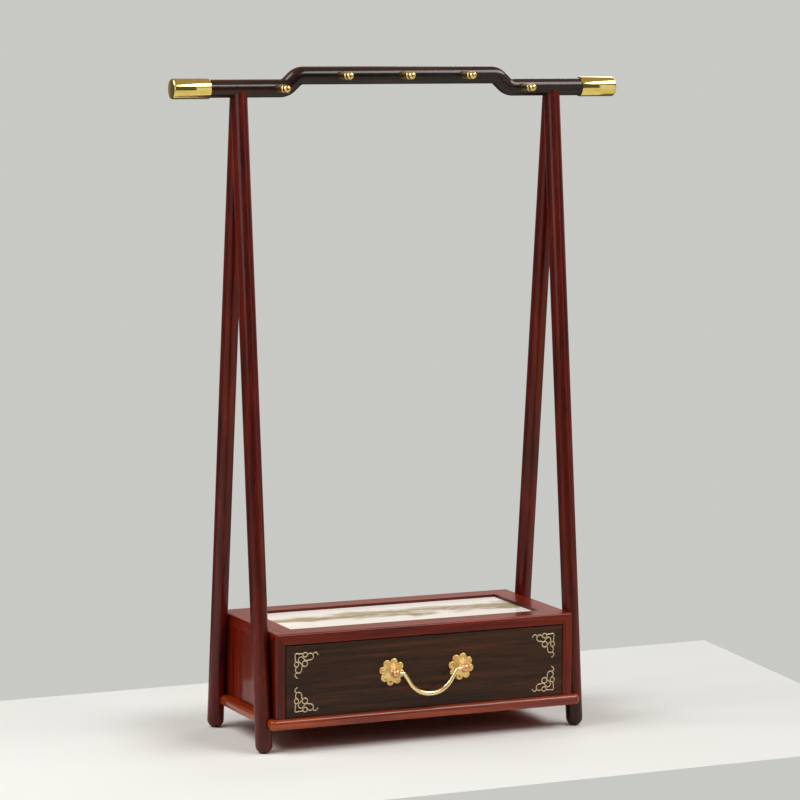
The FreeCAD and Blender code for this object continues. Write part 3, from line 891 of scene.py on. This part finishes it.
flower_tree, bench, given = new_tree("petals_in_a_ring", [
    ("Petals", "Int", PETALS), ("First turn", "Float", 0.0), ("Place", "Vector", None),
    ("Finish", "Material", None)])
spots = bench.add("GeometryNodeMeshLine", {"mode": "OFFSET"}, {
    "Count": given.other("Petals"), "Offset": (0.0, 0.0, 0.0)})
count = bench.add("GeometryNodeInputIndex")
step = bench.add("ShaderNodeMath", {"operation": "DIVIDE"}, {0: 2 * math.pi, 1: given.other("Petals")})
turn = bench.add("ShaderNodeCombineXYZ", None, {"Y": count * step + given.other("First turn")})
ring = bench.add("GeometryNodeInstanceOnPoints", None, {"Points": spots, "Instance": given, "Rotation": turn})
whole = bench.add("GeometryNodeRealizeInstances", None, {"Geometry": ring})
joined = bench.add("GeometryNodeMergeByDistance", None, {"Geometry": whole, "Distance": MERGE_WITHIN})
placed = bench.add("GeometryNodeTransform", None, {"Geometry": joined, "Translation": given.other("Place")})
end_tree(bench, placed, given.other("Finish"))

for side, side_name in ((-1, "left"), (1, "right")):
    flower = through(flower_tree, "rosette_flower_" + side_name, petal_mesh(), {
        "Petals": PETALS, "First turn": math.radians(PETAL_TURN),
        "Place": (side * rosette_x * MM, drawer_face * MM, handle_height * MM),
        "Finish": rosette_brass}, rosette_brass)
    shade(flower, 60)
    hand_over(piece_of("rosette_flower_" + side_name, flower, rosette_brass), "drawer", "brass",
              "rosette_" + side_name)

# %% [markdown]
# ## Knobs, nails and the bail
#
# A post runs from the knob through the rosette and the drawer front, and a nut
# inside holds it. A small nail through the lowest petal stops the rosette from
# turning. The bail is bent wire, forged a little fatter where the finger pulls.

# %% Turn the posts and nails
KNOB_RADIUS = 3.0
KNOB_FRONT = 2.58
SHANK_RADIUS = 1.5
SHANK_END = 19.2
NAIL_LENGTH = 5.0
NAIL_RADIUS = 0.45
NAIL_HEAD_RADIUS = 0.62
bail_y = middle("bail").y

ball = quarter(0, KNOB_RADIUS, -52, 90, 0, 20)[:-1] + [(KNOB_RADIUS, 0)]
ball = [(along * KNOB_FRONT / KNOB_RADIUS if along > 0 else along, radius) for along, radius in ball]
post_profile = [
    (-SHANK_END, 0), (-SHANK_END, SHANK_RADIUS - 0.2), (-SHANK_END + 0.3, SHANK_RADIUS), (-4.8, SHANK_RADIUS),
    (-4.6, 2.5), (-4.2, 2.6), (-3.7, 2.3), (-3.2, 1.8), (-2.7, 1.75)] + ball
for side, side_name in ((-1, "left"), (1, "right")):
    eye = (side * rosette_x, bail_y, handle_height)
    post = turned("knob_" + side_name, post_profile, eye, (0, -1, 0), 40)
    shade(post)
    hand_over(piece_of("knob_" + side_name, post, knob_brass), "drawer", "brass", "handle_post_" + side_name)

turns = [math.radians(PETAL_TURN) + number * 2 * math.pi / PETALS for number in range(PETALS)]
lowest = min(turns, key=math.cos)
nail_profile = [(-NAIL_LENGTH, 0), (-NAIL_LENGTH + 0.8, NAIL_RADIUS), (0.3, NAIL_RADIUS),
                (0.45, NAIL_HEAD_RADIUS), (0.68, NAIL_HEAD_RADIUS), (0.84, 0.48), (0.92, 0.25), (0.94, 0)]
form = bmesh.new()
for side in (-1, 1):
    nail_x = side * rosette_x + PETAL_RING * math.sin(lowest)
    nail_z = handle_height + PETAL_RING * math.cos(lowest)
    form.from_mesh(turned("nail", nail_profile, (nail_x, drawer_face, nail_z), (0, -1, 0), 20))
nails = mesh_of(form, "petal_nails")
shade(nails, 45)
hand_over(piece_of("petal_nails", nails, nail_brass), "drawer", "brass", "rosette_nails")

# %% Bend the bail
WIRE_THICKNESS = 2.6
BAIL_SHOULDER = 19.6
BAIL_SLOPE = math.radians(58)
SHOULDER_BEND = 2.5
BOTTOM_BEND = 17.4
IN_THE_EYE = 0.96
bail_end = high_corner("bail").x
bail_drop = handle_height - low_corner("bail").z - WIRE_THICKNESS / 2
bottom_x = BAIL_SHOULDER - bail_drop / math.tan(BAIL_SLOPE)


def bail_fatness(point):
    """Thin in the eyes, and fatter towards the middle, where the finger pulls."""
    if abs(point.x) > BAIL_SHOULDER + 0.5:
        return IN_THE_EYE
    return 1.1 + 0.16 * eased(16.0, 5.0, abs(point.x))


bail_corners = and_mirrored([
    Vector((-bail_end, bail_y, handle_height)), Vector((-BAIL_SHOULDER, bail_y, handle_height)),
    Vector((-bottom_x, bail_y, handle_height - bail_drop))])
bail_path = rounded(bail_corners, [SHOULDER_BEND, BOTTOM_BEND, BOTTOM_BEND, SHOULDER_BEND])
bail_line = edges_through("bail_line", [bail_path], [bail_fatness(point) for point in bail_path])
bail = through(section_tree, "bail_wire", bail_line,
               {"Radius": WIRE_THICKNESS / 2 * MM, "Sides": 28, "Finish": bail_brass}, bail_brass)
hand_over(piece_of("bail_wire", bail, bail_brass), "bail", "brass", "bail")

# %% [markdown]
# ## Inlaid wire
#
# A scroll of pale wire lies in each corner of the drawer front, let in so
# that it stands a hair above the wood. Half a scroll is drawn here as a few
# open lines. The other half is its mirror image in the diagonal, and a node
# tree mirrors the whole scroll into the four corners.

# %% Lay the inlay
WIRE_RADIUS = 0.46
INLAY_DEPTH = 0.22
SCROLL_X = 96.2
SCROLL_TOP = 67.0
SCROLL_MIDDLE = 46.6


def arc(x, z, radius, start, sweep, wide=1.0):
    """Points of an arc: centre, radius, first angle and how far it turns, in degrees."""
    count = max(6, round(abs(sweep) / 12))
    turns = [math.radians(start + sweep * number / count) for number in range(count + 1)]
    return [(x + radius * wide * math.cos(turn), z + radius * math.sin(turn)) for turn in turns]


def eased_line(points, between=5):
    """A soft line through the points."""
    padded = [points[0]] + points + [points[-1]]
    line = []
    for a, b, c, d in zip(padded, padded[1:], padded[2:], padded[3:]):
        for number in range(between):
            t = number / between
            line.append(tuple(0.5 * (2 * q + (r - p) * t + (2 * p - 5 * q + 4 * r - s) * t * t
                                     + (3 * q - p - 3 * r + s) * t ** 3) for p, q, r, s in zip(a, b, c, d)))
    return line + [points[-1]]


HALF_SCROLL = [
    eased_line([(1.15, 1.15), (1.75, 0.85), (3.1, 1.0), (4.9, 1.1), (6.6, 1.35)]),
    arc(8.1, 1.95, 1.5, 0, 360, 1.08),
    eased_line([(9.75, 2.3), (10.9, 1.35), (12.2, 1.25), (13.4, 2.0), (14.0, 3.4), (13.4, 4.9), (12.0, 5.6),
                (10.6, 5.7), (9.3, 6.15), (8.1, 5.6), (7.1, 4.4), (6.1, 3.5), (5.0, 3.2), (3.75, 3.75)]),
    eased_line([(13.7, 2.1), (14.5, 1.1), (15.6, 0.85), (16.6, 1.6), (17.4, 2.7)]),
]
MIDDLE_LOOP = arc(7.9, 7.9, 1.9, 0, 360)
lines = [[(across, down) for across, down in line] for line in HALF_SCROLL]
lines += [[(down, across) for across, down in line] for line in HALF_SCROLL] + [MIDDLE_LOOP]
scroll_runs = [[Vector((across - SCROLL_X, 0, SCROLL_TOP - SCROLL_MIDDLE - down)) for across, down in line]
               for line in lines]
scroll = edges_through("scroll_lines", scroll_runs)

corner_tree, bench, given = new_tree("four_corners", [
    ("Radius", "Float", 0.0003), ("Place", "Vector", None), ("Finish", "Material", None)])
curves = bench.add("GeometryNodeMeshToCurve", None, {"Mesh": given})
circle = bench.add("GeometryNodeCurvePrimitiveCircle", {"mode": "RADIUS"}, {
    "Resolution": 8, "Radius": given.other("Radius")})
quarters = bench.add("GeometryNodeJoinGeometry")
for mirror in ((1, 1, 1), (-1, 1, 1), (1, 1, -1), (-1, 1, -1)):
    turned_over = bench.add("GeometryNodeTransform", None, {"Geometry": curves, "Scale": mirror})
    wires = bench.add("GeometryNodeCurveToMesh", None, {
        "Curve": turned_over, "Profile Curve": circle, "Fill Caps": True})
    bench.tree.links.new(wires.socket, quarters.socket.node.inputs[0])
placed = bench.add("GeometryNodeTransform", None, {"Geometry": quarters, "Translation": given.other("Place")})
whole = bench.add("GeometryNodeRealizeInstances", None, {"Geometry": placed})
end_tree(bench, whole, given.other("Finish"))

inlay = through(corner_tree, "corner_inlay", scroll, {
    "Radius": WIRE_RADIUS * MM, "Place": (0, (drawer_face + INLAY_DEPTH) * MM, SCROLL_MIDDLE * MM),
    "Finish": inlay_wire}, inlay_wire)
hand_over(piece_of("corner_inlay", inlay, inlay_wire), "drawer", "brass")

# %% [markdown]
# ## What is left of the frame
#
# A few pieces keep their CAD shape, because nobody sees more of them than a
# face: the panel in the base, the drawer's bottom, the nuts and the tenons.

# %% Dress the plain CAD pieces
for node, finish in (("base_panel", rosewood["X"]), ("drawer_bottom", inner_wood["X"]),
                     ("leg_top_tenons", rosewood["Z"]), ("leg_side_tenons", rosewood["X"]),
                     ("handle_nuts", peg_brass)):
    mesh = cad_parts[node].data
    mesh.materials.clear()
    mesh.materials.append(finish)
    print(node, "dressed")

# %% [markdown]
# ## Stage
#
# The stand sits on a white sheet in front of a light grey wall. The camera sees
# the wall and the table beyond the sheet as one even grey. Brass and lacquer
# would mirror that grey flatly, so they see a room instead: a warm pale table
# before the stand and a dark one behind it, a pale card at the front right,
# a warm ceiling over dim walls, and a warm glow low behind the stand. The
# stage is laid out in metres.

# %% Lay the sheet and light the stand
WALL_GREY = linear(199, 200, 196)
SHEET_WHITE = linear(238, 236, 230)
TABLE_NEAR = linear(228, 218, 192)
TABLE_FAR = linear(92, 90, 86)
CARD_WHITE = linear(232, 230, 226)
ROOM_DIM = (0.10, 0.10, 0.10, 1.0)
ROOM_CEILING = (0.40, 0.31, 0.22, 1.0)
ROOM_GLOW = (0.80, 0.52, 0.44, 1.0)
SHEET_THICKNESS = 0.0006


def matt_stage(name, colour):
    finish, bench = new_finish(name)
    matt = bench.add("ShaderNodeBsdfDiffuse", None, {"Color": (*colour, 1.0)})
    bench.add("ShaderNodeOutputMaterial", None, {"Surface": matt})
    return finish


def even_stage(name, seen, near_tone, far_tone):
    """The camera sees one even tone. Mirrors see it bright before the stand, and dark elsewhere."""
    finish, bench = new_finish(name)
    rays = bench.add("ShaderNodeLightPath", output="Is Camera Ray")
    place = bench.add("ShaderNodeTexCoord", output="Object")
    depth = bench.add("ShaderNodeSeparateXYZ", None, {"Vector": place}, output="Y")
    near = bench.ramp(depth, -2.0, -1.2, kind="SMOOTHSTEP")
    before = bench.ramp(depth, -0.1, 0.2, 1.0, 0.0, "SMOOTHSTEP")
    mirrored = bench.mix(near * before, (*far_tone, 1.0), (*near_tone, 1.0))
    matt = bench.add("ShaderNodeBsdfDiffuse", None, {"Color": (*seen, 1.0)})
    plain = bench.add("ShaderNodeEmission", None, {"Color": (*seen, 1.0), "Strength": 1.0})
    shiny = bench.add("ShaderNodeEmission", None, {"Color": mirrored, "Strength": 1.0})
    first = bench.add("ShaderNodeMixShader", None, {0: rays.other("Is Glossy Ray"), 1: matt, 2: shiny})
    both = bench.add("ShaderNodeMixShader", None, {0: rays, 1: first, 2: plain})
    bench.add("ShaderNodeOutputMaterial", None, {"Surface": both})
    return finish


def mirrored_only(name, tone):
    """Nothing but the mirrors sees it, and it casts no shadow."""
    finish, bench = new_finish(name)
    rays = bench.add("ShaderNodeLightPath", output="Is Glossy Ray")
    clear = bench.add("ShaderNodeBsdfTransparent")
    bright = bench.add("ShaderNodeEmission", None, {"Color": (*tone, 1.0), "Strength": 1.0})
    both = bench.add("ShaderNodeMixShader", None, {0: rays, 1: clear, 2: bright})
    bench.add("ShaderNodeOutputMaterial", None, {"Surface": both})
    return finish


def flat_stage(name, corners, finish):
    mesh = bpy.data.meshes.new(name)
    mesh.from_pydata(corners, [], [(0, 1, 2, 3)])
    piece_of(name, mesh, finish)


table_corners = [(x, y, -SHEET_THICKNESS) for x, y in ((-6, -6), (6, -6), (6, 6), (-6, 6))]
sheet_corners = [(x, y, 0) for x, y in ((-0.75, -0.21), (0.31, -0.19), (0.35, 0.194), (-0.75, 0.175))]
card_corners = [(x, -0.85, z) for x, z in ((0.42, 0.02), (0.95, 0.02), (0.95, 0.72), (0.42, 0.72))]
flat_stage("table", table_corners, even_stage("table_grey", WALL_GREY, TABLE_NEAR, TABLE_FAR))
flat_stage("sheet", sheet_corners, matt_stage("sheet_white", SHEET_WHITE))
flat_stage("card", card_corners, mirrored_only("card_white", CARD_WHITE))

world = bpy.data.worlds.new("studio")
bpy.context.scene.world = world
world.use_nodes = True
world.node_tree.nodes.clear()
air = Bench(world.node_tree)
rays = air.add("ShaderNodeLightPath", output="Is Camera Ray")
heading = air.add("ShaderNodeTexCoord", output="Generated")
towards = air.add("ShaderNodeSeparateXYZ", None, {"Vector": heading}, output="Y")
height = towards.other("Z")
behind = air.ramp(towards + towards.other("X") * 0.8, 0.6, 1.0, kind="SMOOTHSTEP")
low = air.ramp(height, 0.18, 0.4, 1.0, 0.1, "SMOOTHSTEP")
above = air.ramp(height, 0.35, 0.6, kind="SMOOTHSTEP")
glow = air.mix(behind * low, air.mix(above, ROOM_DIM, ROOM_CEILING), ROOM_GLOW)
wall = air.add("ShaderNodeBackground", None, {"Color": (*WALL_GREY, 1.0), "Strength": 1.0})
room = air.add("ShaderNodeBackground", None, {"Color": glow, "Strength": rays.other("Is Glossy Ray")})
both = air.add("ShaderNodeMixShader", None, {0: rays, 1: room, 2: wall})
air.add("ShaderNodeOutputWorld", None, {"Surface": both})


def soft_lamp(name, place, aim, width, height, power):
    lamp = bpy.data.lights.new(name, "AREA")
    lamp.shape = "ELLIPSE"
    lamp.size = width
    lamp.size_y = height
    lamp.energy = power
    fixture = bpy.data.objects.new(name, lamp)
    fixture.location = place
    fixture.rotation_euler = (Vector(aim) - Vector(place)).to_track_quat("-Z", "Y").to_euler()
    bpy.context.scene.collection.objects.link(fixture)
    print(name, power, "W")


soft_lamp("key", (0.76, -0.65, 1.25), (0.05, 0, 0.3), width=1.5, height=0.55, power=15.8)
soft_lamp("left", (-0.7, 0.05, 1.0), (-0.05, 0, 0.1), width=0.75, height=0.75, power=8.8)
soft_lamp("low_left", (-0.9, -0.7, 0.6), (0, 0, 0.15), width=0.7, height=0.7, power=2.1)
soft_lamp("rear", (0.7, 0.7, 0.8), (0, 0, 0.2), width=0.7, height=0.7, power=2.6)
